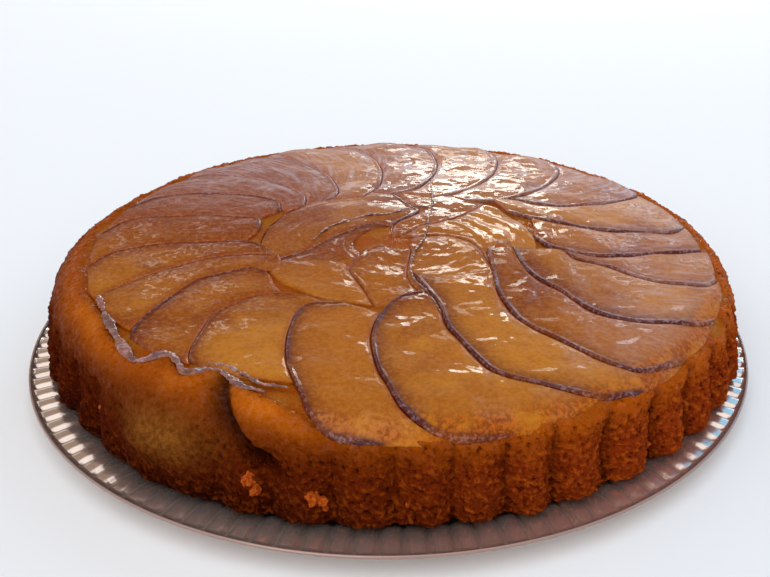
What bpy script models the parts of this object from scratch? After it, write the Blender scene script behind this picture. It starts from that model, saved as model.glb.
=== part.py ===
"""Tarte tatin on its ribbed foil plate: a fluted sponge with apple slices let into its top.

Metres, +Z up. The origin is the middle of the plate's flat underside, and the front is -Y.
Every sub-part is its own closed solid, and neighbours keep a small clearance.
"""

import math

import bmesh
import bpy

# Plate
PLATE_RADIUS = 0.142
PLATE_FLOOR_RADIUS = 0.118
PLATE_RIM_HEIGHT = 0.0075
PLATE_LIP_WIDTH = 0.0014
CARD_THICKNESS = 0.0012
RIB_COUNT = 112
RIB_DEPTH = 0.0010

# Sponge
CAKE_CENTRE = (0.001, 0.004)
CAKE_BASE_RADIUS = 0.110
CAKE_RADIUS = 0.1362
CAKE_HEIGHT = 0.042
FLUTE_COUNT = 45
SAMPLES_PER_FLUTE = 4
FLUTE_DEPTH = 0.0044
SHOULDER_RADIUS = 0.114
SHOULDER_WIDTH = 0.0185
SHOULDER_DROP = 0.0115

# Apple slices
CLEARANCE = 0.0005
SLICE_GAP = 0.0006
SLICE_THICKNESS = 0.0048
SLICE_CROWN = 0.0008
SLICE_EDGE_DROP = 0.0004
SLICE_TIP_WIDTH = 0.0020
SLICE_STATIONS = 7
CUTTER_RISE = 0.006

# A slice's skin crosses its ring's middle radius at an angle in degrees from +X. Towards the
# outer end it drifts by `twist` degrees, and `bend` turns both ends the same way.
# (angle, twist, bend, inner radius)
OUTER_MIDDLE, OUTER_REACH = 0.086, 0.0415
OUTER_SLICES = (
    (-164.5, 9.0, 8.0, 0.050),
    (-152.0, 10.0, 11.0, 0.056),
    (-135.5, 6.0, 13.0, 0.058),
    (-115.0, 10.5, 6.5, 0.056),
    (-95.0, 5.5, 4.0, 0.047),
    (-76.0, 4.0, 8.0, 0.045),
    (-57.0, -1.0, 7.0, 0.046),
    (-39.5, -5.0, 12.0, 0.049),
    (-18.5, -8.0, 9.0, 0.056),
    (-8.5, 0.0, 8.0, 0.056),
    (8.0, -12.0, 12.0, 0.054),
    (26.0, -12.0, 14.0, 0.052),
    (43.5, -3.0, 11.0, 0.050),
    (61.0, 0.0, 9.5, 0.050),
    (78.5, 1.0, 9.0, 0.048),
    (96.0, 2.0, 9.0, 0.051),
    (113.5, 4.0, 9.0, 0.049),
    (130.0, 7.0, 10.0, 0.052),
    (145.0, 11.0, 11.0, 0.054),
    (162.5, 9.0, 10.0, 0.053),
    (181.5, 5.0, 9.5, 0.050),
)
INNER_MIDDLE, INNER_REACH = 0.0250, 0.0165
INNER_SLICES = (
    (-150.0, -3.0, 9.0, 0.0095),
    (-92.0, 0.0, 10.0, 0.0090),
    (-33.0, 3.0, 11.0, 0.0095),
    (24.0, 0.0, 9.0, 0.0090),
    (88.0, -3.0, 8.0, 0.0100),
    (149.0, 0.0, 10.0, 0.0090),
)

COLOURS = {
    "plate": ((0.72, 0.71, 0.70, 1.0), 0.22, 1.0),
    "cake": ((0.46, 0.17, 0.03, 1.0), 0.65, 0.0),
    "apple": ((0.55, 0.27, 0.06, 1.0), 0.25, 0.0),
}


def clear_scene():
    """Removes whatever the scene starts with."""
    for obj in list(bpy.data.objects):
        bpy.data.objects.remove(obj)


def material(name):
    """One Principled material for each of the three substances."""
    made = bpy.data.materials.new(name)
    made.use_nodes = True
    shader = made.node_tree.nodes["Principled BSDF"]
    colour, roughness, metallic = COLOURS[name]
    shader.inputs["Base Color"].default_value = colour
    shader.inputs["Roughness"].default_value = roughness
    shader.inputs["Metallic"].default_value = metallic
    made.diffuse_color = colour
    return made


def wave(angle, *terms):
    """A sum of cosines. Each term is (turns round the tart, phase, size)."""
    return sum(size * math.cos(turns * angle + phase) for turns, phase, size in terms)


def lobe(angle):
    """The sponge's flutes: 1 on the crown of a lobe, 0 in the crease between two."""
    return abs(math.sin(0.5 * FLUTE_COUNT * (angle + math.pi / 2)))


def top_height(radius):
    """Height of the tart's top, which is flat and then rolls over a round shoulder."""
    share = min(max((radius - SHOULDER_RADIUS) / SHOULDER_WIDTH, 0.0), 1.0)
    return CAKE_HEIGHT - SHOULDER_DROP * (1.0 - math.sqrt(1.0 - share * share))


def solid_of_rings(name, rings, mat, sharp_degrees):
    """A closed solid skinned over rings of points, from the bottom (or inner) one to the last.

    The sides are triangles split the same way on every solid, so that a solid and its pocket
    stay parallel. Edges sharper than sharp_degrees stay sharp.
    """
    mesh = bmesh.new()
    loops = [[mesh.verts.new(point) for point in ring] for ring in rings]
    for low, high in zip(loops, loops[1:]):
        count = len(low)
        for i in range(count):
            j = (i + 1) % count
            mesh.faces.new((low[i], low[j], high[j]))
            mesh.faces.new((low[i], high[j], high[i]))
    mesh.faces.new(list(reversed(loops[0])))
    mesh.faces.new(loops[-1])
    data = bpy.data.meshes.new(name)
    mesh.to_mesh(data)
    mesh.free()
    data.materials.append(mat)
    data.shade_smooth()
    data.set_sharp_from_angle(angle=math.radians(sharp_degrees))
    obj = bpy.data.objects.new(name, data)
    bpy.context.scene.collection.objects.link(obj)
    return obj


def circle(radius, height, samples, centre=(0.0, 0.0)):
    """A level ring; radius and height are numbers or functions of the angle."""
    ring = []
    for i in range(samples):
        angle = -math.pi / 2 + 2 * math.pi * i / samples
        r = radius(angle) if callable(radius) else radius
        z = height(angle) if callable(height) else height
        ring.append((centre[0] + r * math.cos(angle), centre[1] + r * math.sin(angle), z))
    return ring


def build_plate(mat):
    """The foil card: a flat floor, then a low rim pressed into ribs, with a plain lip round it."""
    samples = 2 * RIB_COUNT

    def ribs(angle):
        crest = math.cos(RIB_COUNT * (angle + math.pi / 2))
        return PLATE_RIM_HEIGHT - 0.5 * RIB_DEPTH * (1.0 - crest)

    rings = [
        circle(PLATE_FLOOR_RADIUS + CARD_THICKNESS, 0.0, samples),
        circle(PLATE_RADIUS, PLATE_RIM_HEIGHT - CARD_THICKNESS, samples),
        circle(PLATE_RADIUS - PLATE_LIP_WIDTH, ribs, samples),
        circle(PLATE_FLOOR_RADIUS, CARD_THICKNESS, samples),
    ]
    return solid_of_rings("plate", rings, mat, 12)


def build_cake(mat):
    """The sponge: a fluted wall over a tucked-in base, a round shoulder and a flat top."""
    samples = FLUTE_COUNT * SAMPLES_PER_FLUTE
    base = CARD_THICKNESS + CLEARANCE

    def wall(radius, depth):
        def at(angle):
            uneven = wave(angle, (2, 0.6, 0.0006), (5, 2.1, 0.0004), (9, 4.0, 0.0003))
            strength = 1.0 + wave(angle, (1, 0.5, 0.30), (3, 1.4, 0.15))
            return radius + uneven - depth * FLUTE_DEPTH * strength * (1.0 - lobe(angle))

        return at

    # (radius on the lobes, height, share of the flutes' depth) from the base up
    profile = [
        (CAKE_RADIUS - 0.0045, base + 0.0060, 0.45),
        (CAKE_RADIUS, base + 0.0084, 0.85),
        (CAKE_RADIUS - 0.0012, base + 0.0185, 0.95),
        (CAKE_RADIUS - 0.0040, base + 0.0300, 0.55),
    ]
    rings = [circle(CAKE_BASE_RADIUS, base, samples, CAKE_CENTRE)]
    rings += [circle(wall(r, depth), z, samples, CAKE_CENTRE) for r, z, depth in profile]
    for share, depth in ((0.80, 0.2), (0.45, 0.0)):
        radius = SHOULDER_RADIUS + share * SHOULDER_WIDTH
        rings.append(circle(wall(radius, depth), top_height(radius), samples, CAKE_CENTRE))
    rings.append(circle(SHOULDER_RADIUS, CAKE_HEIGHT, samples, CAKE_CENTRE))
    return solid_of_rings("cake", rings, mat, 40)


def skin_angle(slices, index, middle, reach, radius):
    """Angle of a slice's skin at this radius, in radians."""
    turns, which = divmod(index, len(slices))
    angle, twist, bend, _ = slices[which]
    along = (radius - middle) / reach
    return math.radians(angle + twist * along + bend * along * along) + 2 * math.pi * turns


def slice_rings(slices, index, middle, reach, is_cutter):
    """Cross-sections of a slice from its inner to its outer tip.

    A slice reaches from its own skin to the next one's and has a low crown. The cutter of its
    pocket is a clearance larger all round, with upright sides and a flat top above the sponge.
    """
    grow = CLEARANCE if is_cutter else 0.0
    top_share, top_rise = (1.0, CUTTER_RISE) if is_cutter else (0.4, SLICE_CROWN)
    inner = slices[index][3]
    outer = middle + reach + 0.0008 * math.cos(1.9 * index)
    rings = []
    for k in range(SLICE_STATIONS):
        along = -math.cos(math.pi * k / (SLICE_STATIONS - 1))
        radius = 0.5 * (inner + outer) + 0.5 * (outer - inner) * along
        first = skin_angle(slices, index, middle, reach, radius)
        second = skin_angle(slices, index + 1, middle, reach, radius)
        full = 0.5 * ((second - first) * radius - SLICE_GAP)
        taper = (1.0 - abs(along) ** 3.0) ** 0.33
        half = max(full * taper, 0.5 * SLICE_TIP_WIDTH) + grow
        heading = 0.5 * (first + second)
        surface = top_height(radius)
        under = surface - SLICE_THICKNESS * (1.0 - 0.45 * abs(along) ** 3) - grow
        edge = surface - SLICE_EDGE_DROP
        crown = surface + top_rise
        end = {0: -2 * grow, SLICE_STATIONS - 1: 2 * grow}.get(k, 0.0)
        low_side = ((-1.0, edge), (-0.8, under), (0.8, under), (1.0, edge))
        outline = low_side + ((top_share, crown), (-top_share, crown))
        ring = []
        for across, z in outline:
            angle = heading + across * half / radius
            x = CAKE_CENTRE[0] + (radius + end) * math.cos(angle)
            y = CAKE_CENTRE[1] + (radius + end) * math.sin(angle)
            ring.append((x, y, z))
        rings.append(ring)
    return rings


def build_slices(cake, mat, prefix, slices, middle, reach):
    """One ring of apple slices, each sunk into its own pocket in the sponge."""
    for index in range(len(slices)):
        name = f"{prefix}_{index + 1:02d}"
        solid_of_rings(name, slice_rings(slices, index, middle, reach, False), mat, 50)
        pocket_rings = slice_rings(slices, index, middle, reach, True)
        cutter = solid_of_rings("pocket_" + name, pocket_rings, mat, 50)
        cutter.hide_render = True
        cutter.display_type = "WIRE"
        pocket = cake.modifiers.new(cutter.name, "BOOLEAN")
        pocket.operation = "DIFFERENCE"
        pocket.solver = "EXACT"
        pocket.object = cutter


def build():
    """The whole tart."""
    clear_scene()
    materials = {name: material(name) for name in COLOURS}
    build_plate(materials["plate"])
    cake = build_cake(materials["cake"])
    apple = materials["apple"]
    build_slices(cake, apple, "slice_outer", OUTER_SLICES, OUTER_MIDDLE, OUTER_REACH)
    build_slices(cake, apple, "slice_inner", INNER_SLICES, INNER_MIDDLE, INNER_REACH)


build()
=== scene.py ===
"""Tarte tatin on a ribbed foil plate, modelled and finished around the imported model.

The frame comes first. Then each operator makes one piece, or one group of like pieces: the
foil plate, the sponge, the outer and inner apple slices, the glaze and the crumbs, and last the
stage with its lights and camera. Lengths are in metres, and angles in degrees round the tart
are measured from +X, so the front of the tart is at -90.
"""

import math

import bpy
import numpy as np
from mathutils import Matrix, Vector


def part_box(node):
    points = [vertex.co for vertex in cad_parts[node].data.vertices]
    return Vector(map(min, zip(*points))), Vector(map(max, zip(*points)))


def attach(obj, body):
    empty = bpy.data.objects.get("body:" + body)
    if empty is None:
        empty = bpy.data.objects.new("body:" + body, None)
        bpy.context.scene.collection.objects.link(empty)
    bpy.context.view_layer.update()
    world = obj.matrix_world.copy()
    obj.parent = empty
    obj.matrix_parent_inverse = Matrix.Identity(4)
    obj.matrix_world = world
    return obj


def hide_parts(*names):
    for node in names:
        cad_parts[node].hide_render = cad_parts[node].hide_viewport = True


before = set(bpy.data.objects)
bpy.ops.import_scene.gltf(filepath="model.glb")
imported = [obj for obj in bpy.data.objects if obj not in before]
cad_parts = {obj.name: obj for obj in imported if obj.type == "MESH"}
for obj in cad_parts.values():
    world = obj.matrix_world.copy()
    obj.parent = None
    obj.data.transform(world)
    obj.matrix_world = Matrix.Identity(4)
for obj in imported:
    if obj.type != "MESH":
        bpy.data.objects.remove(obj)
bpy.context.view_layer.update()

bl_info = {
    "name": "Tarte tatin",
    "version": (1, 0, 0),
    "blender": (4, 5, 0),
    "location": "3D View > Sidebar > Tart",
    "description": "Models a glazed apple tart on its foil plate",
    "category": "Add Mesh",
}

PLATE_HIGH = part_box("plate")[1]
CAKE_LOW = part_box("cake")[0]
CENTRE = np.array([0.001, 0.004])
MM = 0.001

# The shoulder starts here, is this wide and falls this far.
SHOULDER_RADIUS = 0.114
SHOULDER_WIDTH = 0.0185
SHOULDER_DROP = 0.0115
FLUTE_COUNT = 45
FLUTE_DEPTH = 0.0050
RIB_COUNT = 112

# How finely the turned pieces and the slices are divided.
STEPS_A_RIB = 16
SPONGE_STEPS = 980
ALONG_SLICE = 130
ACROSS_SLICE = 40

# Apple slices: how strong the skin shows, then the skin's line from its inner to its outer end
# as (radius in mm, angle in degrees). A slice reaches from its own skin to the next one's.
OUTER_SKINS = (
    (0.55, (48, -163), (60, -167.5), (80, -165.5), (100, -160), (115, -155.5), (118, -152)),
    (1.00, (57, -150), (62, -155), (79, -154.3), (92, -149.5), (102, -145.3), (112, -141.5),
     (118.5, -138)),
    (0.60, (58, -124), (64, -133), (73, -137), (88, -135.2), (98, -131.5), (110, -127),
     (115.5, -124)),
    (0.90, (57, -111), (61, -118), (68, -120), (80, -116.7), (90, -113.6), (102, -109.6),
     (116, -104.4), (124, -101.8), (129.5, -98.5), (131.5, -92)),
    (1.00, (46, -80), (48, -88), (57, -94), (75, -96.3), (94, -94.1), (107, -91.5),
     (119, -89.3), (127, -86), (130, -82.5), (131.5, -75.5)),
    (1.00, (30, -80), (42, -77), (57, -75), (71, -76.3), (82, -75.5), (95, -74.2),
     (105, -72.8), (114, -68.8), (121.5, -64.7), (127.5, -60), (131.5, -53)),
    (0.80, (36, -15), (40, -28), (46.5, -40), (55, -49), (66, -54.5), (81, -57.5), (95, -56),
     (110, -55), (120, -53.5), (126, -50), (130.5, -41)),
    (1.00, (45, 4), (47, -12), (53, -25.5), (61.5, -32.6), (73, -36.2), (82, -39.2), (92, -41),
     (101, -40.6), (110, -38.3), (118, -35.5), (125, -32), (130, -27)),
    (0.60, (66, -6), (71, -13), (84, -16), (94, -19.4), (103, -20.5), (115, -19.8), (122, -18),
     (127, -13)),
    (0.95, (56, 3), (61, -5.5), (70, -8.8), (80, -9.9), (90, -9), (101, -6.8), (116, -5),
     (126, -2)),
    (0.90, (57, 31), (62.5, 22.5), (70, 15.8), (79, 10.2), (89.5, 6.8), (104, 5.2), (116, 5),
     (125.5, 10)),
    (0.70, (62, 50), (68, 42), (72, 34), (78, 28.7), (86, 26.5), (100, 24.5), (116, 24.5),
     (125.5, 29)),
    (0.55, (52, 56), (58, 48), (68, 43.5), (84, 42), (100, 44), (114, 48), (124, 55)),
    (0.45, (50, 73), (57, 65), (68, 61), (84, 60), (100, 62), (114, 66), (124, 73)),
    (0.55, (52, 91), (58, 83), (68, 79), (84, 78), (100, 80), (114, 84), (124, 91)),
    (0.45, (50, 108), (57, 101), (68, 97), (84, 96), (100, 98), (114, 102), (124, 109)),
    (0.55, (53, 124), (58, 118), (68, 115), (84, 114.5), (100, 117), (114, 121), (124, 128)),
    (0.50, (55, 138), (60, 133), (68, 130), (84, 131), (100, 135), (114, 140), (123, 147)),
    (0.95, (60, 147), (68, 142), (83, 144.5), (102, 150.7), (114, 157), (121, 165)),
    (0.75, (58, 168), (62, 160), (72, 160.5), (84, 162.5), (103, 167), (114, 170.5),
     (121, 178)),
    (0.80, (52, 188), (58, 182), (70, 181), (83, 182), (100, 183.5), (112, 187.5), (121, 193)),
)
INNER_SKINS = (
    (0.35, (6, -168), (14, -152), (20, -138), (31, -126), (40, -110), (56, -98)),
    (0.30, (5, -30), (9.6, -58), (20, -78), (31, -83), (42, -80.5), (56, -76)),
    (0.30, (6, 45), (18, 24), (28, 5), (34, -14), (40, -28), (56, -38)),
    (0.20, (6, 80), (18, 62), (28, 50), (38, 46), (56, 48)),
    (0.75, (6, 112), (18, 96), (27, 79), (34, 75), (39, 82), (56, 94)),
    (1.00, (17, 102), (21.3, 120), (23, 150), (28.4, 176), (38, 194), (56, 202)),
)

# The apple layer ends at this radius in mm, by angle round the tart.
LAYER_EDGE = (
    (-180, 121.5), (-150, 119.0), (-136, 122.5), (-132, 124.0), (-130, 118.0), (-128, 116.0),
    (-123.4, 120.0), (-119, 114.5), (-113, 118.5), (-107, 120.0), (-101, 129.0), (-97, 130.5),
    (-45, 130.5), (-28, 130.5), (-12, 127.0), (20, 125.5), (60, 124.5), (120, 124.5),
    (150, 122.0), (180, 121.5),
)

# Ridges of set glaze on the top: half thickness in mm, then (radius in mm, angle in degrees).
GLAZE_RIDGES = (
    (2.00, (116.5, -155), (118, -147.5), (119.6, -142), (121.6, -137), (123.4, -132.6),
     (121.4, -131), (118, -130), (115.4, -128.4), (117.4, -125.6), (119.3, -123.4),
     (117.2, -121.4), (114.6, -120), (114, -118.4), (116, -115.8), (118, -113), (118.4, -109)),
    (1.10, (112.5, -122), (111, -118.5), (112.5, -114.5), (115, -111), (114.6, -106.5)),
    (0.36, (64, -76), (54, -76), (45, -77), (37, -80), (26, -79), (13, -60), (10, 0), (14, 35),
     (25, 60), (43, 70), (64, 77), (81, 79)),
    (0.60, (34, 180), (31, 153), (29, 118), (28, 98), (36, 80), (38, 70)),
)

# Soft lights, all aimed at the middle: place, width, height, power in watts and colour.
MIDDLE = (0.0, 0.0, 0.03)
LIGHTS = {
    "window": ((0.35, 1.7, 0.42), 1.7, 0.42, 3.4, (0.93, 0.93, 1.0)),
    "lamp": ((0.12, 1.56, 0.62), 0.3, 0.18, 2.0, (1.0, 1.0, 0.90)),
    "left_lamp": ((-0.45, 1.5, 0.80), 0.22, 0.10, 0.2, (1.0, 0.97, 0.93)),
    "right_lamp": ((0.59, 1.52, 0.74), 0.3, 0.10, 0.5, (0.80, 0.88, 1.0)),
    "front": ((-0.6, -1.5, 0.7), 1.0, 0.8, 4.0, (1.0, 0.97, 0.92)),
}

# The camera stands here and turns down, sideways and about its own axis by these radians.
CAMERA_PLACE = (0.0044, -0.3646, 0.2072)
CAMERA_PITCH = 0.4687
CAMERA_YAW = 0.0542
CAMERA_ROLL = 0.0270


# ---------------------------------------------------------------- sizes and colours


def picked(name, description, red, green, blue):
    """A colour that can be picked in the panel."""
    default = (red / 255, green / 255, blue / 255)
    return bpy.props.FloatVectorProperty(
        name=name, description=description, subtype="COLOR_GAMMA", size=3, min=0.0, max=1.0,
        default=default,
    )


def length(name, description, default):
    """A length that can be set in the panel."""
    return bpy.props.FloatProperty(
        name=name, description=description, default=default, min=0.0, subtype="DISTANCE",
        unit="LENGTH", precision=5,
    )


class TART_PG_sizes(bpy.types.PropertyGroup):
    """Sizes of the tart's pieces."""

    plate_radius: length("Plate radius", "Outer radius of the foil plate", PLATE_HIGH.x)
    plate_floor: length("Plate floor", "Radius of the plate's flat floor", 0.118)
    plate_rim: length("Plate rim", "Height of the plate's rim", PLATE_HIGH.z)
    rib_depth: length("Rib depth", "Depth of the ribs pressed in the rim", 0.0010)
    cake_radius: length("Cake radius", "Radius over the sponge's lobes", 0.1362)
    cake_height: length("Cake height", "Height of the apple layer's top", 0.042)
    slice_ridge: length("Skin ridge", "How far a slice's skin stands up", 0.0005)
    layer_sink: length("Caramel depth", "How far the sponge lies under the apples", 0.0013)


class TART_PG_colours(bpy.types.PropertyGroup):
    """Colours of the tart's finishes."""

    flesh: picked("Flesh", "Cooked apple", 172, 98, 24)
    flesh_pale: picked("Pale flesh", "Lighter parts of the apple", 190, 118, 34)
    caramel: picked("Caramel", "Apple that took up the caramel", 128, 56, 14)
    amber: picked("Amber", "Soft apple at the rim", 186, 92, 10)
    skin: picked("Skin", "Edge of the apple's skin", 84, 24, 12)
    # Painted highlight: a lavender colour painted on skins, seams and glaze ridges in place of
    # their glints.
    lavender_highlight: picked("Film", "Dull film on the skin", 176, 142, 150)
    glaze: picked("Glaze", "Caramel in the gaps between slices", 168, 78, 8)
    shoulder: picked("Shoulder", "Glazed shoulder of the sponge", 196, 92, 8)
    crust: picked("Crust", "Middle of the sponge's wall", 148, 53, 12)
    # Painted shade: the crust's colour where painted shade falls, darkest at the foot.
    crust_shade: picked("Dark crust", "Foot of the sponge's wall", 74, 23, 5)
    crumb: picked("Crumb", "Open crumb of the sponge", 200, 94, 20)
    foil: picked("Foil", "Bare foil", 232, 212, 200)
    floor: picked("Floor", "Table top", 246, 246, 246)


def sizes():
    return bpy.context.scene.tart_sizes


def linear(colour):
    """A picked colour as light values."""
    return tuple(((c + 0.055) / 1.055) ** 2.4 if c > 0.04 else c / 12.92 for c in colour) + (1.0,)


# ---------------------------------------------------------------- shader maths


class Value:
    """A socket that takes part in sums: each operation adds its Math node."""

    def __init__(self, paint, socket):
        self.paint = paint
        self.socket = socket

    def math(self, operation, first, second):
        return self.paint.node("ShaderNodeMath", {"operation": operation}, {0: first, 1: second})

    def __add__(self, other):
        return self.math("ADD", self, other)

    def __radd__(self, other):
        return self.math("ADD", other, self)

    def __sub__(self, other):
        return self.math("SUBTRACT", self, other)

    def __rsub__(self, other):
        return self.math("SUBTRACT", other, self)

    def __mul__(self, other):
        return self.math("MULTIPLY", self, other)

    def __rmul__(self, other):
        return self.math("MULTIPLY", other, self)

    def crest(self):
        """1 where a value from 0 to 1 is halfway, falling in a sharp crest to 0 at its ends."""
        return 1.0 - self.math("ABSOLUTE", self * 2.0 - 1.0, 0.0)

    def step(self, low, high):
        """0 below low, 1 above high, and a smooth rise between them."""
        return self.paint.node(
            "ShaderNodeMapRange", {"interpolation_type": "SMOOTHSTEP"},
            {0: self, 1: low, 2: high, 3: 0.0, 4: 1.0},
        )


class Paint:
    """A material under construction."""

    def __init__(self, name, room=None):
        self.material = room or bpy.data.materials.new(name)
        self.material.use_nodes = True
        self.tree = self.material.node_tree
        self.shader = self.tree.nodes["Background" if room else "Principled BSDF"]

    def node(self, kind, settings=None, inputs=None, output=0):
        """Adds a node: its settings first, then the numbers or links of its sockets."""
        made = self.tree.nodes.new(kind)
        for key, value in (settings or {}).items():
            setattr(made, key, value)
        for key, value in (inputs or {}).items():
            if isinstance(value, Value):
                self.tree.links.new(value.socket, made.inputs[key])
            else:
                made.inputs[key].default_value = value
        return Value(self, made.outputs[output])

    def place(self):
        """The piece's own coordinates, in metres."""
        return self.node("ShaderNodeTexCoord", output="Object")

    def axis(self, name, vector=None):
        return self.node("ShaderNodeSeparateXYZ", {}, {0: vector or self.place()}, name)

    def lengthwise(self, along, across):
        """The piece's UV map, in metres, stretched along and across a slice."""
        laid = self.node("ShaderNodeTexCoord", output="UV")
        return self.node("ShaderNodeMapping", {}, {0: laid, 3: (along, across, 1.0)})

    def attribute(self, name):
        return self.node("ShaderNodeAttribute", {"attribute_name": name}, output="Fac")

    def noise(self, scale, detail=3.0, roughness=0.55, vector=None, distortion=0.0):
        inputs = {"Vector": vector or self.place(), "Scale": scale, "Detail": detail}
        inputs.update({"Roughness": roughness, "Distortion": distortion})
        return self.node("ShaderNodeTexNoise", {}, inputs)

    def cells(self, scale):
        inputs = {"Vector": self.place(), "Scale": scale}
        return self.node("ShaderNodeTexVoronoi", {}, inputs)

    def mix(self, share, first, second, blend="MIX"):
        """One colour into another; each is a picked colour or a link."""
        inputs = {0: share}
        for key, colour in ((6, first), (7, second)):
            inputs[key] = colour if isinstance(colour, Value) else linear(colour)
        return self.node("ShaderNodeMix", {"data_type": "RGBA", "blend_type": blend}, inputs, 2)

    def bump(self, height, distance, strength=1.0):
        inputs = {"Height": height, "Distance": distance, "Strength": strength}
        return self.node("ShaderNodeBump", {}, inputs)

    def feed(self, **sockets):
        """Sets or links the shader's own sockets; an underscore stands for a space."""
        for key, value in sockets.items():
            socket = self.shader.inputs[key.replace("_", " ")]
            if isinstance(value, Value):
                self.tree.links.new(value.socket, socket)
            else:
                socket.default_value = value


def apple_paint():
    """Cooked apple under caramel: amber flesh, dark skin edges, a wet glaze, painted sheen and
    highlights.
    """
    tints = bpy.context.scene.tart_colours
    paint = Paint("glazed_apple")
    skin = paint.attribute("skin")
    near = paint.attribute("near_skin")
    tuck = paint.attribute("tuck")
    tone = paint.attribute("tone")
    tail = paint.attribute("tail")
    browned = paint.attribute("browned")
    clouds = paint.noise(95.0, 4.0, 0.6)
    patches = paint.noise(34.0, 3.0, 0.55)
    fibres = paint.noise(1.0, 3.0, 0.6, paint.lengthwise(70.0, 700.0), 0.3)
    flesh = paint.mix((clouds + tone * 0.5 - 0.25).step(0.35, 0.75), tints.flesh, tints.flesh_pale)
    flesh = paint.mix(fibres.step(0.50, 0.80) * 0.20, flesh, tints.caramel)
    soaked = near * 0.95 + patches.step(0.45, 0.70) * 0.50 + tuck * 0.50 + browned * 1.2
    flesh = paint.mix(soaked.step(0.0, 1.3), flesh, tints.caramel)
    flesh = paint.mix(near.step(0.12, 0.95) * 0.75, flesh, (0.40, 0.17, 0.075))
    flesh = paint.mix(tuck.step(0.25, 0.9) * 0.7, flesh, tints.glaze)
    speckle = paint.noise(620.0, 4.0, 0.7)
    flesh = paint.mix(speckle.step(0.45, 0.62) * 0.22, flesh, (0.80, 0.52, 0.22))
    flesh = paint.mix((1.0 - speckle).step(0.50, 0.66) * 0.22, flesh, (0.46, 0.20, 0.05))
    orange = (tail + (clouds - 0.5) * 1.2 + (speckle - 0.5) * 1.8).step(0.35, 0.90)
    soft = paint.mix(speckle.step(0.40, 0.60), (0.50, 0.19, 0.03), tints.amber)
    soft = paint.mix(clouds.step(0.36, 0.78) * 0.8, soft, (0.80, 0.50, 0.12))
    flesh = paint.mix(orange * 0.85, flesh, soft)
    # Painted sheen: towards the back and the right, the flesh is painted lavender in streaks in
    # place of the glaze's glare.
    painted_sheen = paint.attribute("painted_sheen")
    streaks = paint.noise(1.0, 4.0, 0.65, paint.lengthwise(60.0, 380.0), 0.6)
    painted_sheen_share = painted_sheen * (0.22 + 0.50 * streaks.step(0.44, 0.66)) * (1.0 - 0.9 * tail)
    flesh = paint.mix(painted_sheen_share, flesh, (0.74, 0.67, 0.69))
    band = (skin * (0.20 + 1.40 * clouds)).step(0.08, 0.90)
    colour = paint.mix(band, flesh, tints.skin)
    # Painted highlight: lavender speckles along the skins and the seams between slices, stronger
    # where the sheen is painted.
    lavender_highlight = speckle.step(0.50, 0.62) * (0.75 * skin + paint.attribute("seam_highlight")).step(0.30, 0.90)
    colour = paint.mix(lavender_highlight * (0.34 + 0.36 * painted_sheen), colour, tints.lavender_highlight)
    wet = paint.noise(200.0, 5.0, 0.62)
    patch = paint.noise(52.0, 2.0).step(0.42, 0.60)
    crests = paint.noise(480.0, 4.0, 0.62).crest() * (0.25 + 0.75 * patch)
    ripples = paint.noise(1.0, 1.0, 0.5, paint.lengthwise(700.0, 300.0)).crest()
    beaded = paint.attribute("beaded")
    beads = paint.noise(1250.0, 2.0, 0.5) * beaded
    calm = (1.0 - 0.5 * painted_sheen) * (1.0 - 0.6 * beaded)
    height = wet * 0.24 * calm + crests * 0.12 + ripples * 0.09 + beads * 1.1
    height = height + speckle * (0.05 + 0.45 * skin + 0.45 * tail)
    gloss = patch * (speckle + 0.3 * patches).step(0.45, 0.75) * (1.0 - 0.55 * browned)
    paint.feed(
        Base_Color=colour,
        Roughness=0.46 + 0.20 * clouds - 0.14 * skin,
        IOR=1.45,
        Specular_IOR_Level=0.04,
        Coat_Weight=0.07 + 0.50 * gloss * (1.0 - 0.6 * painted_sheen) + 0.25 * skin + 0.45 * beaded,
        Coat_Roughness=0.05,
        Coat_IOR=1.5,
        Subsurface_Weight=0.10,
        Subsurface_Radius=(1.0, 0.45, 0.12),
        Subsurface_Scale=0.004,
        Normal=paint.bump(height, 0.0011, 0.9),
    )
    return paint.material


def glaze_paint():
    """Set glaze: a clear, wrinkled skin, painted lavender in places as a painted highlight."""
    tints = bpy.context.scene.tart_colours
    paint = Paint("set_glaze")
    speckle = paint.noise(420.0, 4.0, 0.65)
    # Painted highlight: lavender speckles stand in for the glaze's glints.
    colour = paint.mix(speckle.step(0.48, 0.64) * 0.6, (0.56, 0.28, 0.15), tints.lavender_highlight)
    colour = paint.mix(paint.noise(190.0).step(0.46, 0.58) * 0.75, colour, tints.skin)
    paint.feed(
        Base_Color=colour,
        Roughness=0.30 + 0.25 * speckle,
        Coat_Weight=0.9,
        Coat_Roughness=0.05,
        Normal=paint.bump(speckle, 0.0014, 0.9),
    )
    return paint.material


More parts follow.
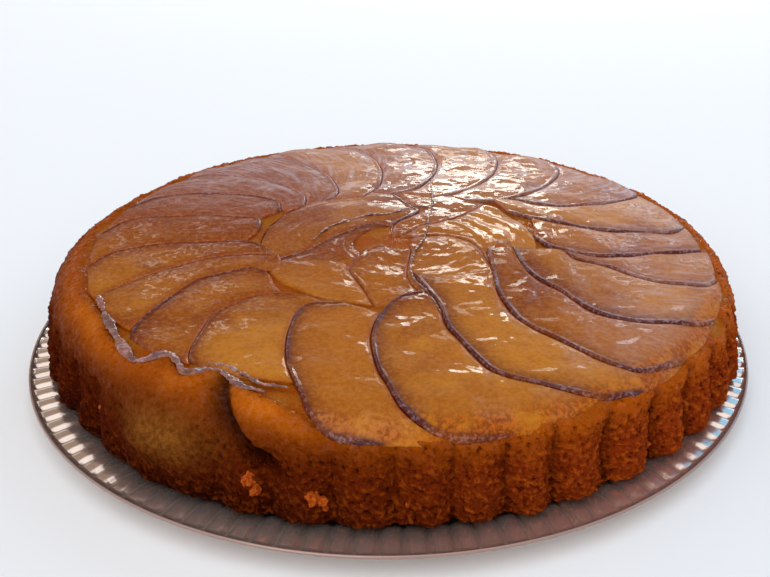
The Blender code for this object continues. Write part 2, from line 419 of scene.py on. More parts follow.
def sponge_paint():
    """The sponge: orange where glazed, through brown to nearly black in painted shade at its foot.
    """
    tints = bpy.context.scene.tart_colours
    paint = Paint("baked_sponge")
    up = paint.axis("Z")
    pit_shade = paint.attribute("pit_shade")
    bump = paint.attribute("raised_highlight")
    painted_shade = paint.attribute("painted_shade")
    blotch = paint.noise(60.0, 4.0, 0.6)
    speck = paint.noise(480.0, 4.0, 0.7)
    fine = paint.noise(1100.0, 3.0, 0.7)
    rise = up + (blotch - 0.5) * 0.014
    # Painted shade: the foot of the wall is painted dark by the shade mask.
    foot = paint.mix(painted_shade, tints.crust, tints.crust_shade)
    wall = paint.mix(rise.step(0.006, 0.022), foot, tints.crust)
    wall = paint.mix(rise.step(0.024, 0.038), wall, tints.shoulder)
    # Painted highlight: the crumb colour is lighter where the relief and the bump stand up.
    grain = (speck * 0.6 + fine * 0.4 + bump * 0.25).step(0.50, 0.70)
    wall = paint.mix(grain * 0.75, wall, tints.crumb)
    # Painted shade: the pits of the crumb and the low spots of the speckle are painted nearly
    # black.
    wall = paint.mix((pit_shade + (0.46 - speck) * 3.0).step(0.0, 0.9) * 0.85, wall, (0.20, 0.045, 0.01))
    # Painted shade: the whole wall is darkened again by the shade mask.
    wall = paint.mix(painted_shade * 0.95, wall, (0.50, 0.44, 0.30), "MULTIPLY")
    pale = paint.attribute("pale") * (0.5 + 0.5 * speck.step(0.40, 0.60))
    wall = paint.mix(pale * 0.8, wall, (0.60, 0.37, 0.13))
    glow = paint.attribute("glow") * (0.45 + 0.55 * blotch.step(0.40, 0.60))
    wall = paint.mix(glow * 0.85, wall, (0.86, 0.45, 0.07))
    # Painted shade: the fold is painted nearly black.
    wall = paint.mix(paint.attribute("fold") * 0.9, wall, (0.16, 0.04, 0.01))
    syrup = paint.mix(blotch.step(0.42, 0.58), tints.glaze, tints.flesh)
    colour = paint.mix(paint.attribute("wet"), wall, syrup)
    height = speck * 0.9 + fine * 0.6 + paint.cells(800.0) * 0.5
    glazed = rise.step(0.028, 0.040)
    paint.feed(
        Base_Color=colour,
        Roughness=0.80 - 0.30 * glazed,
        Specular_IOR_Level=0.02,
        Coat_Weight=glazed * speck.step(0.48, 0.62) * 0.28,
        Coat_Roughness=0.10,
        Normal=paint.bump(height, 0.0016, 0.9),
    )
    return paint.material


def crumb_paint():
    """Loose baked crumb, painted lighter on its bumps as a painted highlight."""
    tints = bpy.context.scene.tart_colours
    paint = Paint("loose_crumb")
    speck = paint.noise(700.0, 4.0, 0.7)
    # Painted highlight: the same noise raises the bumps and lightens their colour.
    colour = paint.mix(speck.step(0.35, 0.65), tints.crust, tints.crumb)
    height = speck + paint.cells(900.0)
    paint.feed(
        Base_Color=colour, Roughness=0.8, Specular_IOR_Level=0.1,
        Normal=paint.bump(height, 0.0008),
    )
    return paint.material


def foil_paint():
    """Pressed foil, lightly scuffed."""
    tints = bpy.context.scene.tart_colours
    paint = Paint("pressed_foil")
    scuff = paint.noise(240.0, 4.0, 0.6)
    stain = paint.noise(30.0, 3.0, 0.6)
    lip = paint.attribute("lip")
    colour = paint.mix(stain.step(0.45, 0.75) * 0.35, tints.foil, (0.74, 0.66, 0.60))
    colour = paint.mix(lip, colour, (0.66, 0.54, 0.50))
    paint.feed(
        Base_Color=colour,
        Metallic=0.86 - 0.3 * lip,
        Roughness=0.15 + 0.10 * scuff,
        Normal=paint.bump(scuff * 0.2 + stain, 0.0016, 0.35),
    )
    return paint.material


def floor_paint():
    """A plain pale table top."""
    tints = bpy.context.scene.tart_colours
    paint = Paint("pale_table")
    shade = paint.noise(3.0, 2.0)
    colour = paint.mix(shade * 0.3, tints.floor, (0.93, 0.93, 0.935))
    paint.feed(Base_Color=colour, Roughness=0.85, Specular_IOR_Level=0.2)
    return paint.material


def room_light():
    """A pale room, with darker walls behind the table: a tan one and a light blue one."""
    room = bpy.data.worlds.new("room")
    paint = Paint("room", room)
    toward = paint.node("ShaderNodeTexCoord", output="Generated")
    up = paint.axis("Z", toward)
    across = paint.axis("X", toward)
    behind = paint.axis("Y", toward).step(0.30, 0.55) * up.step(0.32, 0.40)
    behind = behind * (1.0 - up.step(0.74, 0.88))
    walls = paint.mix(across.step(0.12, 0.22), (0.36, 0.37, 0.40), (0.66, 1.02, 1.25))
    walls = paint.mix((0.0 - across).step(0.06, 0.18), walls, (0.66, 0.58, 0.50))
    colour = paint.mix(behind, (0.97, 0.98, 1.0), walls)
    paint.feed(Color=colour, Strength=0.86)
    return room


# ---------------------------------------------------------------- modelling helpers


def deselect():
    """Leaves edit mode and selects nothing, because an operator acts on all that is selected."""
    if bpy.context.object and bpy.context.object.mode != "OBJECT":
        bpy.ops.object.mode_set(mode="OBJECT")
    bpy.ops.object.select_all(action="DESELECT")


def started(name):
    """Names the primitive just added."""
    piece = bpy.context.object
    piece.name = name
    piece.data.name = name
    return piece


def points_of(piece, kind="co"):
    """The piece's points, or its normals at them, one row each."""
    flat = np.empty(3 * len(piece.data.vertices), np.float32)
    piece.data.vertices.foreach_get(kind, flat)
    return flat.reshape(-1, 3).astype(float)


def set_points(piece, points):
    piece.data.vertices.foreach_set("co", np.asarray(points, np.float32).ravel())
    piece.data.update()


def set_attribute(piece, name, values):
    """Stores one number a point for the paint to read."""
    layer = piece.data.attributes.new(name, "FLOAT", "POINT")
    layer.data.foreach_set("value", np.asarray(values, np.float32))


def set_uv(piece, across_points):
    """Lays the piece's UV map out in metres, from one pair of numbers a point."""
    mesh = piece.data
    corner = np.empty(len(mesh.loops), np.int32)
    mesh.loops.foreach_get("vertex_index", corner)
    layer = mesh.uv_layers[0] if mesh.uv_layers else mesh.uv_layers.new(name="UVMap")
    layer.uv.foreach_set("vector", across_points[corner].astype(np.float32).ravel())


def smooth_step(values, low, high):
    share = np.clip((values - low) / (high - low), 0.0, 1.0)
    return share * share * (3.0 - 2.0 * share)


def rolled(distance, width):
    """How far an edge has rolled over, from 1 at the edge to 0 this far in."""
    share = 1.0 - np.clip(distance / width, 0.0, 1.0)
    return 1.0 - np.sqrt(1.0 - share**2)


def bell(values, middle, width):
    return np.exp(-(((values - middle) / width) ** 2))


def spot(where, x, y, width):
    """1 at (x, y), fading over this width."""
    return np.exp(-((where[:, 0] - x) ** 2 + (where[:, 1] - y) ** 2) / width**2)


def polar(points):
    """Radius and angle in degrees round the cake's middle."""
    flat = points[:, :2] - CENTRE
    return np.hypot(flat[:, 0], flat[:, 1]), np.degrees(np.arctan2(flat[:, 1], flat[:, 0]))


def by_angle(table, angles):
    """A table of (angle, value) read at these angles."""
    turned = (np.asarray(angles) + 180.0) % 360.0 - 180.0
    return np.interp(turned, [row[0] for row in table], [row[1] for row in table])


def top_height(radius):
    """Height of the tart's top, which is flat and then rolls over its shoulder."""
    share = np.clip((radius - SHOULDER_RADIUS) / SHOULDER_WIDTH, 0.0, 1.0)
    return sizes().cake_height - SHOULDER_DROP * (1.0 - np.sqrt(1.0 - share * share))


def relief(piece, name, kind, scale, strength, group="", **settings):
    """Presses a texture into the piece with a Displace modifier, and returns how far it went."""
    texture = bpy.data.textures.new(name, kind)
    texture.noise_scale = scale
    for key, value in settings.items():
        setattr(texture, key, value)
    before = points_of(piece)
    normals = points_of(piece, "normal")
    pressed = piece.modifiers.new(name, "DISPLACE")
    pressed.texture = texture
    pressed.texture_coords = "LOCAL"
    pressed.strength = strength
    pressed.mid_level = 0.5
    pressed.vertex_group = group
    deselect()
    bpy.context.view_layer.objects.active = piece
    piece.select_set(True)
    bpy.ops.object.modifier_apply(modifier=name)
    return np.einsum("ij,ij->i", points_of(piece) - before, normals)


def weigh(piece, name, weights):
    """A vertex group with these weights, in 40 even steps."""
    group = piece.vertex_groups.new(name=name)
    level = np.round(np.clip(weights, 0.0, 1.0) * 40).astype(int)
    for step in range(1, 41):
        chosen = np.nonzero(level == step)[0].tolist()
        if chosen:
            group.add(chosen, step / 40, "REPLACE")
    return name


def lathe(name, profile, centre, steps):
    """Turns a profile of (radius, height), which starts and ends on the axis, about it."""
    deselect()
    bpy.ops.mesh.primitive_plane_add(size=0.001, location=(centre[0], centre[1], profile[0][1]))
    piece = started(name)
    bpy.ops.object.transform_apply(location=True, rotation=True, scale=True)
    bpy.ops.object.mode_set(mode="EDIT")
    bpy.ops.mesh.select_all(action="SELECT")
    bpy.ops.mesh.merge(type="CENTER")
    for (radius, height), (next_radius, next_height) in zip(profile, profile[1:]):
        step = (next_radius - radius, 0.0, next_height - height)
        bpy.ops.mesh.extrude_region_move(TRANSFORM_OT_translate={"value": step})
    bpy.ops.mesh.select_all(action="SELECT")
    bpy.ops.mesh.spin(
        steps=steps, angle=2.0 * math.pi, center=(centre[0], centre[1], 0.0), axis=(0.0, 0.0, 1.0)
    )
    bpy.ops.mesh.select_all(action="SELECT")
    bpy.ops.mesh.remove_doubles(threshold=0.000002)
    bpy.ops.mesh.normals_make_consistent(inside=False)
    bpy.ops.object.mode_set(mode="OBJECT")
    return piece


def finish(piece, material, slot, *nodes):
    """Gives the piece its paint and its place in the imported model."""
    piece.data.materials.clear()
    piece.data.materials.append(material)
    piece.data.shade_smooth()
    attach(piece, "root")
    if nodes:
        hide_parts(*nodes)
    deselect()


def curve_through(rows, count):
    """A smooth line through (x, y) rows, resampled evenly by length."""
    rows = np.asarray(rows, float)
    rows = np.vstack([2 * rows[0] - rows[1], rows, 2 * rows[-1] - rows[-2]])
    share = np.linspace(0.0, 1.0, 16, endpoint=False)[:, None]
    parts = []
    for a, b, c, d in zip(rows, rows[1:], rows[2:], rows[3:]):
        bent = 2 * a - 5 * b + 4 * c - d
        cubic = 3 * b - a - 3 * c + d
        parts.append(0.5 * (2 * b + (c - a) * share + bent * share**2 + cubic * share**3))
    line = np.vstack(parts + [rows[-2:-1]])
    run = np.concatenate([[0.0], np.cumsum(np.hypot(*np.diff(line, axis=0).T))])
    even = np.linspace(0.0, run[-1], count)
    return np.column_stack([np.interp(even, run, line[:, k]) for k in (0, 1)])


# ---------------------------------------------------------------- the pieces


class TART_OT_plate(bpy.types.Operator):
    """Turns the foil plate and presses the ribs in its rim"""

    bl_idname = "tart.plate"
    bl_label = "Foil plate"
    bl_options = {"REGISTER", "UNDO"}

    def execute(self, context):
        size = sizes()
        outer = size.plate_radius
        floor = size.plate_floor
        rim = size.plate_rim
        card = 0.0012
        # The rim rises steeply from the floor, runs out almost level and dips before its lip.
        bend = floor + 0.0095
        level = rim - 0.0010
        profile = [(0.0, 0.0), (floor + 0.0004, 0.0)]
        profile += [(floor + 0.0050, 0.0019), (bend + 0.0004, level - card)]
        profile += [(outer - 0.0060, rim - 0.0022), (outer - 0.0014, rim - 0.0018)]
        profile += [(outer - 0.0004, rim - 0.0013), (outer, rim - 0.0007)]
        profile += [(outer - 0.0002, rim - 0.0001), (outer - 0.0005, rim)]
        top = rim - 0.0006
        profile += [(outer - 0.0008, rim - 0.0001), (outer - 0.0011, top + 0.0001)]
        reach = outer - 0.0013 - bend
        for k in range(10):
            share = 1.0 - k / 9
            crest = 0.0006 * min(share / 0.5, (1.1 - share) / 0.6)
            profile.append((bend + reach * share, level + crest))
        for k in range(1, 6):
            share = 1.0 - k / 6
            profile.append((floor + 0.0095 * share, card + (level - card) * share**1.15))
        profile.append((floor, card))
        profile.append((floor - 0.0004, card))
        profile += [(floor * share, card) for share in (0.97, 0.93, 0.6)] + [(0.0, card)]
        piece = lathe("foil_plate", profile, (0.0, 0.0), RIB_COUNT * STEPS_A_RIB)
        points = points_of(piece)
        radius = np.hypot(points[:, 0], points[:, 1])
        angle = np.arctan2(points[:, 1], points[:, 0])
        phase = (angle / (2.0 * math.pi) * RIB_COUNT) % 1.0 - 0.5
        groove = bell(phase, 0.0, 0.16)
        inside = smooth_step(radius, floor + 0.0005, floor + 0.0035)
        outside = 1.0 - smooth_step(radius, outer - 0.0022, outer - 0.0010)
        points[:, 2] -= size.rib_depth * groove * inside * outside
        points[:, 2] = np.maximum(points[:, 2], 0.0)
        set_points(piece, points)
        set_attribute(piece, "lip", smooth_step(radius, outer - 0.0012, outer - 0.0006))
        finish(piece, foil_paint(), "foil", "plate")
        return {"FINISHED"}


class TART_OT_sponge(bpy.types.Operator):
    """Turns the sponge, presses its flutes and opens its crumb"""

    bl_idname = "tart.sponge"
    bl_label = "Sponge"
    bl_options = {"REGISTER", "UNDO"}

    def profile(self):
        """The section from the middle of the underside to the middle of the top."""
        size = sizes()
        base = CAKE_LOW.z
        radius = size.cake_radius
        wall = [
            (radius - 0.0045, base + 0.0060), (radius - 0.0012, base + 0.0069),
            (radius, base + 0.0084), (radius - 0.0002, base + 0.0120),
            (radius - 0.0012, base + 0.0185), (radius - 0.0024, base + 0.0245),
            (radius - 0.0037, base + 0.0288),
        ]
        rows = [(0.0, base), (0.06, base), (0.110, base), (0.124, base + 0.0030)]
        rows += [tuple(row) for row in curve_through(wall, 50)[:-1]]
        turn = np.linspace(math.radians(4.0), math.radians(90.0), 34)
        rows += [
            (SHOULDER_RADIUS + SHOULDER_WIDTH * math.cos(a),
             size.cake_height - SHOULDER_DROP * (1.0 - math.sin(a)))
            for a in turn
        ]
        rows += [(r, size.cake_height) for r in (0.111, 0.107, 0.1, 0.09, 0.075, 0.06, 0.04)]
        return rows + [(0.02, size.cake_height), (0.0, size.cake_height)]

    def execute(self, context):
        size = sizes()
        piece = lathe("tart_sponge", self.profile(), CENTRE, SPONGE_STEPS)
        points = points_of(piece)
        radius, angle = polar(points)
        height = points[:, 2]
        turn = np.radians(angle)
        base = CAKE_LOW.z
        side = smooth_step(radius, 0.112, 0.124)
        # The flutes are uneven, and nearly lost at the front left.
        drift = -2.5 * bell(angle, -66.0, 12.0)
        lobe = np.abs(np.sin(0.5 * FLUTE_COUNT * np.radians(angle - drift + 90.0)))
        uneven = 0.0006 * np.cos(2 * turn + 0.6) + 0.0004 * np.cos(5 * turn + 2.1)
        uneven += 0.0003 * np.cos(9 * turn + 4.0)
        strength = 1.0 + 0.30 * np.cos(turn + 0.5) + 0.15 * np.cos(3 * turn + 1.4)
        strength *= 1.0 - 0.85 * bell(angle, -124.0, 11.0)
        rises = base + np.array([0.0, 0.006, 0.0084, 0.0185, 0.026, 0.031, 0.0355])
        depth = np.interp(height, rises, [0.1, 0.45, 0.85, 0.95, 0.70, 0.25, 0.0])
        out = uneven - depth * FLUTE_DEPTH * strength * (1.0 - lobe)
        # A bulge stands out there beside a dent, and two soft lobes stand out at the front.
        rise = height / MM
        out += 0.0036 * bell(angle, -125.0, 8.5) * bell(rise, 24.0, 11.0)
        out -= 0.0022 * bell(angle, -143.0, 7.0) * bell(rise, 20.0, 14.0)
        out += 0.0012 * bell(angle, -59.0, 5.0) * bell(rise, 35.0, 4.0)
        out += 0.0012 * bell(angle, -46.0, 4.5) * bell(rise, 35.5, 4.0)
        # A fold runs down from the apples on the bulge's right.
        fold = -116.5 + (41.0 - rise) * 0.62
        fold_depth = bell(angle, fold, 1.9) * smooth_step(rise, 21.0, 27.0)
        out -= 0.0058 * fold_depth
        out *= side
        grow = (radius + out) / np.maximum(radius, 1e-6)
        points[:, :2] = CENTRE + (points[:, :2] - CENTRE) * grow[:, None]
        # Within the apple layer's edge the sponge lies lower, under caramel.
        edge = by_angle(LAYER_EDGE, angle) * MM
        edge = edge + 0.0008 * np.cos(23 * turn) + 0.0006 * np.cos(41 * turn + 1.0)
        inside = smooth_step(edge - radius, -0.0004, 0.0022) * (height > 0.03)
        points[:, 2] -= size.layer_sink * inside
        points[:, 2] += 0.0006 * bell(radius - edge, 0.0022, 0.0016) * (height > 0.03)
        set_points(piece, points)
        wall = smooth_step(height, base + 0.001, base + 0.005)
        glazed = 0.30 + 0.35 * (1.0 - smooth_step(angle, -110.0, -85.0))
        crumbly = wall * (1.0 - glazed * smooth_step(height, 0.028, 0.037))
        smooth_patch = 1.0 - 0.75 * bell(angle, -125.0, 9.0) * bell(rise, 28.0, 9.0)
        group = weigh(piece, "crumb", crumbly * smooth_patch * (1.0 - inside))
        relief(piece, "swell", "CLOUDS", 0.011, 0.0018, group, noise_depth=2)
        went = relief(piece, "crumb", "CLOUDS", 0.0019, 0.0018, group, noise_depth=3)
        went += relief(piece, "pores", "VORONOI", 0.0014, 0.0016, group)
        # Painted shade in the pits and a painted highlight on the raised crumb, from how far the
        # relief went in or out.
        set_attribute(piece, "pit_shade", np.clip(-went / 0.0010, 0.0, 1.0))
        set_attribute(piece, "raised_highlight", np.clip(went / 0.0010, 0.0, 1.0))
        set_attribute(piece, "wet", inside)
        # Painted shade: the crust is painted darkest at the left and darker in the clefts between
        # flutes, and less at the top of the shoulder.
        away = np.minimum(np.abs(angle + 175.0), np.abs(angle - 185.0))
        shade = 1.0 - 0.9 * smooth_step(away, 50.0, 130.0)
        shade = np.maximum(shade, 0.8 * (1.0 - lobe) ** 2)
        shade *= 1.0 - 0.6 * bell(radius, 0.1235, 0.006) * (height > 0.03)
        set_attribute(piece, "painted_shade", shade)
        # Painted shade: how dark the fold is painted.
        set_attribute(piece, "fold", fold_depth)
        glow = bell(radius - edge, 0.0040, 0.0036) * smooth_step(height, 0.034, 0.038)
        glow = glow * (bell(angle, -110.0, 16.0) + 0.7 * bell(angle, -150.0, 12.0))
        set_attribute(piece, "glow", np.clip(glow, 0.0, 1.0))
        set_attribute(piece, "pale", bell(angle, -122.0, 6.5) * bell(rise, 28.0, 7.0))
        finish(piece, sponge_paint(), "sponge", "cake")
        return {"FINISHED"}


def skin_line(row, count=150, rising=True):
    """A slice's skin as radii in metres and angles in radians, from its inner to its outer end."""
    spots = np.array(row[1:], float)
    radii = spots[:, 0] * MM
    turns = np.radians(spots[:, 1])
    line = curve_through(np.column_stack([radii * np.cos(turns), radii * np.sin(turns)]), count)
    radius = np.hypot(line[:, 0], line[:, 1])
    angle = np.unwrap(np.arctan2(line[:, 1], line[:, 0]))
    angle += 2.0 * math.pi * round((turns[0] - angle[0]) / (2.0 * math.pi))
    return (np.maximum.accumulate(radius) if rising else radius), angle


def nearest(points, line):
    """Distance in mm from each point to the nearest spot of a line."""
    gaps = points[:, None, :] - line[None, :, :]
    return np.sqrt((gaps**2).sum(axis=2).min(axis=1)) / MM


def make_slice(ring, rows, index, lift, paint):
    """Lays one apple slice between its own skin and the next slice's."""
    size = sizes()
    number = f"{index + 1:02d}"
    row = rows[index]
    # After the last slice comes the first one, a full turn on.
    turns, following = divmod(index + 1, len(rows))
    radius, own = skin_line(row, ALONG_SLICE + 1)
    next_radius, next_angle = skin_line(rows[following], 400)
    next_angle = next_angle + 2.0 * math.pi * turns
    if next_angle[-1] < own[-1]:
        next_angle = next_angle + 2.0 * math.pi
    other = np.interp(radius, next_radius, next_angle)
    # The slice narrows to a rounded point at both ends.
    open_up = math.radians(3.0 if lift >= 0 else 40.0)
    inner_limit = own[0] + open_up * ((radius - radius[0]) / MM + 1.5)
    outer_limit = own[-1] + open_up * ((radius[-1] - radius) / MM + 1.2)
    other = np.minimum(other, np.minimum(inner_limit, outer_limit))
    gap = 0.0002 / np.maximum(radius, 0.01)
    other = np.maximum(other - gap, own + 0.0006 / np.maximum(radius, 0.01))
    deselect()
    bpy.ops.mesh.primitive_grid_add(
        x_subdivisions=ALONG_SLICE, y_subdivisions=ACROSS_SLICE, size=1.0, location=(0.0, 0.0, 0.0)
    )
    piece = started(f"{ring}_apple_{number}")
    laid = points_of(piece)
    step = np.rint((laid[:, 0] + 0.5) * ALONG_SLICE).astype(int)
    share = 0.5 - 0.5 * np.cos(math.pi * (laid[:, 1] + 0.5))
    angle = own[step] * (1.0 - share) + other[step] * share
    r = radius[step]
    flat = np.column_stack([r * np.cos(angle), r * np.sin(angle)])
    left = np.column_stack([radius * np.cos(own), radius * np.sin(own)])
    right = np.column_stack([radius * np.cos(other), radius * np.sin(other)])
    to_skin = nearest(flat, left)
    to_next = nearest(flat, right)
    strength = row[0]
    lengths = np.concatenate([[0.0], np.cumsum(np.hypot(*np.diff(left, axis=0).T))])
    run = lengths[step]
    to_end = np.minimum(run, lengths[-1] - run) / MM
    inside = np.minimum(to_skin, to_next)
    # The top is crowned, with a ridge along the skin and rounded edges.
    crown = 0.0005 * (1.0 - np.exp(-inside / 4.0))
    ridge = size.slice_ridge * strength * bell(to_skin, 0.75, 0.7)
    height = top_height(r) + lift + crown + ridge
    drop = 0.0005 * rolled(to_skin, 0.7) + 0.0007 * rolled(to_next, 2.2) * (0.3 + 0.7 * strength)
    height -= np.maximum(drop, 0.0010 * rolled(to_end, 1.5))
    # Every slice waves in its own way, more so at the back.
    seed = 1.7 * index + (5.0 if lift < 0 else 0.0)
    reach = np.abs(other - own)[step] * r
    height += 0.00025 * np.cos(run * 260.0 + seed) * np.cos(reach * share * 190.0 + 2.0 * seed)
    back = smooth_step(r * np.sin(angle), 0.02, 0.08) * smooth_step(r, 0.106, 0.117)
    height += 0.0009 * back * np.sin(angle * 19.0 + seed) * np.sin(angle * 7.0)
    # The outer end sinks into the sponge.
    if lift >= 0:
        tip = (1.0 - smooth_step((lengths[-1] - run) / MM, 0.0, 5.5)) ** 1.5
        height -= 0.0030 * tip
        flat *= (1.0 - 0.0034 * tip * smooth_step(r, 0.118, 0.127) / r)[:, None]
    points = np.column_stack([flat + CENTRE, height])
    set_points(piece, points)
    set_uv(piece, np.column_stack([run + 0.13 * index, reach * share]))
    group = weigh(piece, "flesh", 0.25 + 0.75 * smooth_step(inside, 0.5, 4.0))
    uneven = 0.74 + 0.20 * np.sin(run * 95.0 + seed) + 0.16 * np.sin(run * 233.0 + 2.0 * seed)
    wide = 0.8 + 0.7 * strength + 0.35 * np.sin(run * 61.0 + 3.0 * seed)
    fade = smooth_step(to_end, 0.5, 6.0)
    set_attribute(piece, "skin", strength * uneven * fade * bell(to_skin, 0.5, wide))
    set_attribute(piece, "near_skin", strength * np.exp(-to_skin / 5.5))
    set_attribute(piece, "tuck", np.exp(-to_next / 1.8))
    set_attribute(piece, "tone", np.full(len(run), 0.5 + 0.5 * math.sin(2.3 * seed)))
    end_radius = radius[-1] / MM
    tail = smooth_step(r / MM, end_radius - 13.0, end_radius - 3.0) * (end_radius > 128.0)
    set_attribute(piece, "tail", tail)
    where = flat / MM
    browned = spot(where, -75.0, 45.0, 48.0) + 0.6 * spot(where, -10.0, 0.0, 38.0)
    browned += 0.5 * spot(where, 60.0, -35.0, 40.0)
    browned += 0.35 * smooth_step(-where[:, 0], 15.0, 80.0)
    set_attribute(piece, "browned", np.clip(browned, 0.0, 1.3))
    # Painted sheen: how strongly the lavender sheen is painted, growing towards the back and the
    # right.
    painted_sheen = 0.85 * smooth_step(where[:, 1], 5.0, 95.0) + 0.55 * smooth_step(where[:, 0], 50.0, 115.0)
    set_attribute(piece, "painted_sheen", np.clip(painted_sheen, 0.0, 1.0))
    set_attribute(piece, "beaded", spot(where, 30.0, 52.0, 38.0))
    # Painted highlight: how strongly lavender speckles are painted along the seams, more towards
    # the back.
    seam = np.maximum(bell(to_skin, 0.3, 0.7), bell(to_next, 0.3, 0.7))
    set_attribute(piece, "seam_highlight", seam * (0.35 + 0.65 * smooth_step(where[:, 1], -70.0, 10.0)))
    relief(piece, "wrinkles", "CLOUDS", 0.0042, 0.0005, group, noise_depth=2)
    # The sheet gets a skirt and an underside.
    bpy.ops.object.mode_set(mode="EDIT")
    bpy.ops.mesh.select_mode(type="EDGE")
    bpy.ops.mesh.select_all(action="DESELECT")
    bpy.ops.mesh.select_non_manifold()
    bpy.ops.mesh.extrude_region_move(TRANSFORM_OT_translate={"value": (0.0, 0.0, -0.0026)})
    bpy.ops.mesh.edge_face_add()
    bpy.ops.mesh.select_all(action="SELECT")
    bpy.ops.mesh.normals_make_consistent(inside=False)
    bpy.ops.object.mode_set(mode="OBJECT")
    finish(piece, paint, "apple", f"slice_{ring}_{number}")


class TART_OT_outer_slices(bpy.types.Operator):
    """Lays the outer ring of apple slices"""

    bl_idname = "tart.outer_slices"
    bl_label = "Outer slices"
    bl_options = {"REGISTER", "UNDO"}

    def execute(self, context):
        paint = apple_paint()
        for index in range(len(OUTER_SKINS)):
            make_slice("outer", OUTER_SKINS, index, 0.0, paint)
        return {"FINISHED"}


class TART_OT_inner_slices(bpy.types.Operator):
    """Lays the small slices in the middle"""

    bl_idname = "tart.inner_slices"
    bl_label = "Inner slices"
    bl_options = {"REGISTER", "UNDO"}

    def execute(self, context):
        paint = apple_paint()
        for index in range(len(INNER_SKINS)):
            make_slice("inner", INNER_SKINS, index, -0.0007, paint)
        return {"FINISHED"}


class TART_OT_glaze(bpy.types.Operator):
    """Lays the ridges of set glaze"""

    bl_idname = "tart.glaze"
    bl_label = "Glaze ridges"
    bl_options = {"REGISTER", "UNDO"}

    def execute(self, context):
        size = sizes()
        made = []
        for row in GLAZE_RIDGES:
            radius, angle = skin_line(row, 200, rising=False)
            deselect()
            bpy.ops.curve.primitive_nurbs_path_add(location=(0.0, 0.0, 0.0))
            path = bpy.context.object
            path.data.splines.clear()
            spline = path.data.splines.new("POLY")
            spline.points.add(len(radius) - 1)
            height = top_height(radius) + 0.0003
            lines = np.column_stack([
                CENTRE[0] + radius * np.cos(angle), CENTRE[1] + radius * np.sin(angle), height,
                np.ones(len(radius)),
            ])
            spline.points.foreach_set("co", lines.astype(np.float32).ravel())
            share = np.linspace(0.0, 1.0, len(radius))
            swell = 0.75 + 0.25 * np.sin(share * 37.0 + 3.0 * len(made))
            swell = swell * (0.15 + 0.85 * np.sin(math.pi * share) ** 0.4)
            spline.points.foreach_set("radius", swell.astype(np.float32))
            path.data.bevel_depth = row[0] * MM
            path.data.bevel_resolution = 5
            path.data.use_fill_caps = True
            bpy.ops.object.convert(target="MESH")
            made.append(bpy.context.object)
        for ridge in made:
            ridge.select_set(True)
        bpy.context.view_layer.objects.active = made[0]
        bpy.ops.object.join()
        piece = started("glaze_ridges")
        bpy.ops.object.mode_set(mode="EDIT")
        bpy.ops.mesh.select_all(action="SELECT")
        bpy.ops.mesh.normals_make_consistent(inside=False)
        bpy.ops.object.mode_set(mode="OBJECT")
        points = points_of(piece)
        radius, _ = polar(points)
        points[:, 2] -= 0.65 * (points[:, 2] - top_height(radius) - 0.0002)
        set_points(piece, points)
        relief(piece, "folds", "CLOUDS", 0.0032, 0.0016, noise_depth=3)
        relief(piece, "lumps", "CLOUDS", 0.0011, 0.0010, noise_depth=2)
        finish(piece, glaze_paint(), "apple")
        return {"FINISHED"}


class TART_OT_crumbs(bpy.types.Operator):
    """Sticks a few loose crumbs to the sponge's foot"""

    bl_idname = "tart.crumbs"
    bl_label = "Crumbs"
    bl_options = {"REGISTER", "UNDO"}

    def execute(self, context):
        rng = np.random.default_rng(7)
        spots = [(-109.0, 20.5, 133.6, 2.6), (-108.0, 17.6, 134.0, 1.9), (-100.3, 18.2, 134.4, 2.3),
                 (-99.2, 17.2, 134.6, 1.6)]
        for _ in range(44):
            angle = rng.uniform(-180.0, 180.0)
            rise = rng.uniform(9.0, 24.0)
            spots.append((angle, rise, 134.0 - 0.06 * rise, rng.uniform(0.5, 1.1)))
        deselect()
        made = []
        for angle, rise, out, size in spots:
            turn = math.radians(angle)
            where = (
                CENTRE[0] + out * MM * math.cos(turn),
                CENTRE[1] + out * MM * math.sin(turn),
                rise * MM,
            )
            bpy.ops.object.select_all(action="DESELECT")
            bpy.ops.mesh.primitive_ico_sphere_add(
                subdivisions=4 if size > 1.5 else 3, radius=size * MM, location=where
            )
            bpy.ops.transform.resize(value=tuple(rng.uniform(0.75, 1.15, 3)))
            made.append(bpy.context.object)
        for lump in made:
            lump.select_set(True)
        bpy.context.view_layer.objects.active = made[0]
        bpy.ops.object.join()
        piece = started("crumbs")
        bpy.ops.object.transform_apply(location=True, rotation=True, scale=True)
        relief(piece, "lumps", "CLOUDS", 0.0017, 0.0022, noise_depth=2)
        finish(piece, crumb_paint(), "sponge")
        return {"FINISHED"}


def facing(side, up, back, place):
    """The matrix of a light or camera that stands at a place, by the ways its axes point."""
    rows = [(side[k], up[k], back[k], place[k]) for k in range(3)]
    return Matrix(rows + [(0.0, 0.0, 0.0, 1.0)])


def area_light(name, place, aim, width, height, power, colour):
    """A soft light at a place, turned to an aim."""
    data = bpy.data.lights.new(name, "AREA")
    data.shape = "RECTANGLE"
    data.size = width
    data.size_y = height
    data.energy = power
    data.color = colour
    lamp = bpy.data.objects.new(name, data)
    bpy.context.scene.collection.objects.link(lamp)
    away = np.array(place, float) - np.array(aim, float)
    away /= np.linalg.norm(away)
    side = np.cross((0.0, 0.0, 1.0), away)
    side /= np.linalg.norm(side)
    up = np.cross(away, side)
    lamp.matrix_world = facing(side, up, away, place)


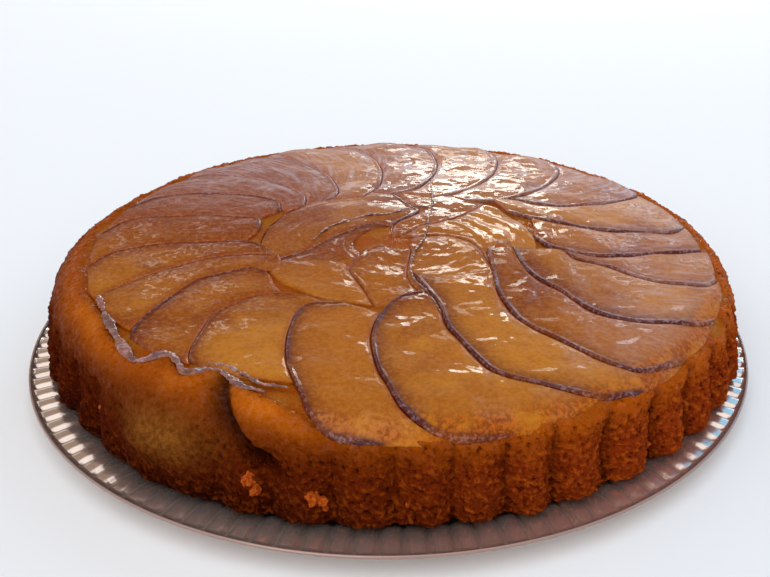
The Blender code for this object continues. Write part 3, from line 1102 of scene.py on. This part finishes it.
class TART_OT_stage(bpy.types.Operator):
    """Lays the table and sets the lights and the camera"""

    bl_idname = "tart.stage"
    bl_label = "Stage"
    bl_options = {"REGISTER", "UNDO"}

    def execute(self, context):
        scene = context.scene
        deselect()
        bpy.ops.mesh.primitive_plane_add(size=16.0, location=(0.0, 4.0, -0.0004))
        floor = started("table")
        bpy.ops.object.transform_apply(location=True, rotation=True, scale=True)
        floor.data.materials.append(floor_paint())
        deselect()

        scene.world = room_light()
        scene.view_settings.view_transform = "Standard"

        for name, (place, width, height, power, colour) in LIGHTS.items():
            area_light(name, place, MIDDLE, width, height, power, colour)
        sky = bpy.data.lights.new("ceiling", "SUN")
        sky.energy = 0.50
        sky.angle = math.radians(70.0)
        sky.color = (1.0, 0.985, 0.96)
        lamp = bpy.data.objects.new("ceiling", sky)
        scene.collection.objects.link(lamp)
        lamp.rotation_euler = (math.radians(8.0), math.radians(-10.0), 0.0)

        data = bpy.data.cameras.new("camera")
        data.sensor_width = 36.0
        data.lens = 46.75
        data.shift_x = -0.0909
        data.clip_start = 0.01
        camera = bpy.data.objects.new("camera", data)
        scene.collection.objects.link(camera)
        pitch, yaw, roll = CAMERA_PITCH, CAMERA_YAW, CAMERA_ROLL
        ahead = np.array([
            math.sin(yaw) * math.cos(pitch), math.cos(yaw) * math.cos(pitch), -math.sin(pitch)
        ])
        level = np.array([math.cos(yaw), -math.sin(yaw), 0.0])
        upward = np.cross(level, ahead)
        side = level * math.cos(roll) + upward * math.sin(roll)
        top = upward * math.cos(roll) - level * math.sin(roll)
        camera.matrix_world = facing(side, top, -ahead, CAMERA_PLACE)
        scene.camera = camera
        return {"FINISHED"}


class TART_PT_panel(bpy.types.Panel):
    """Lists the tart's pieces in the sidebar"""

    bl_idname = "TART_PT_panel"
    bl_label = "Tarte tatin"
    bl_space_type = "VIEW_3D"
    bl_region_type = "UI"
    bl_category = "Tart"

    def draw(self, context):
        layout = self.layout
        for group in (context.scene.tart_sizes, context.scene.tart_colours):
            column = layout.column(align=True)
            for name in group.bl_rna.properties.keys():
                if name not in ("rna_type", "name"):
                    column.prop(group, name)
        for step in STEPS:
            layout.operator(step.bl_idname)


STEPS = (
    TART_OT_plate,
    TART_OT_sponge,
    TART_OT_outer_slices,
    TART_OT_inner_slices,
    TART_OT_glaze,
    TART_OT_crumbs,
    TART_OT_stage,
)
CLASSES = (TART_PG_sizes, TART_PG_colours) + STEPS + (TART_PT_panel,)


def register():
    for made in CLASSES:
        bpy.utils.register_class(made)
    bpy.types.Scene.tart_sizes = bpy.props.PointerProperty(type=TART_PG_sizes)
    bpy.types.Scene.tart_colours = bpy.props.PointerProperty(type=TART_PG_colours)


def unregister():
    del bpy.types.Scene.tart_sizes
    del bpy.types.Scene.tart_colours
    for made in reversed(CLASSES):
        bpy.utils.unregister_class(made)


def main():
    """Makes every piece in turn."""
    register()
    bpy.ops.tart.plate()
    bpy.ops.tart.sponge()
    bpy.ops.tart.outer_slices()
    bpy.ops.tart.inner_slices()
    bpy.ops.tart.glaze()
    bpy.ops.tart.crumbs()
    bpy.ops.tart.stage()


if __name__ == "__main__":
    main()
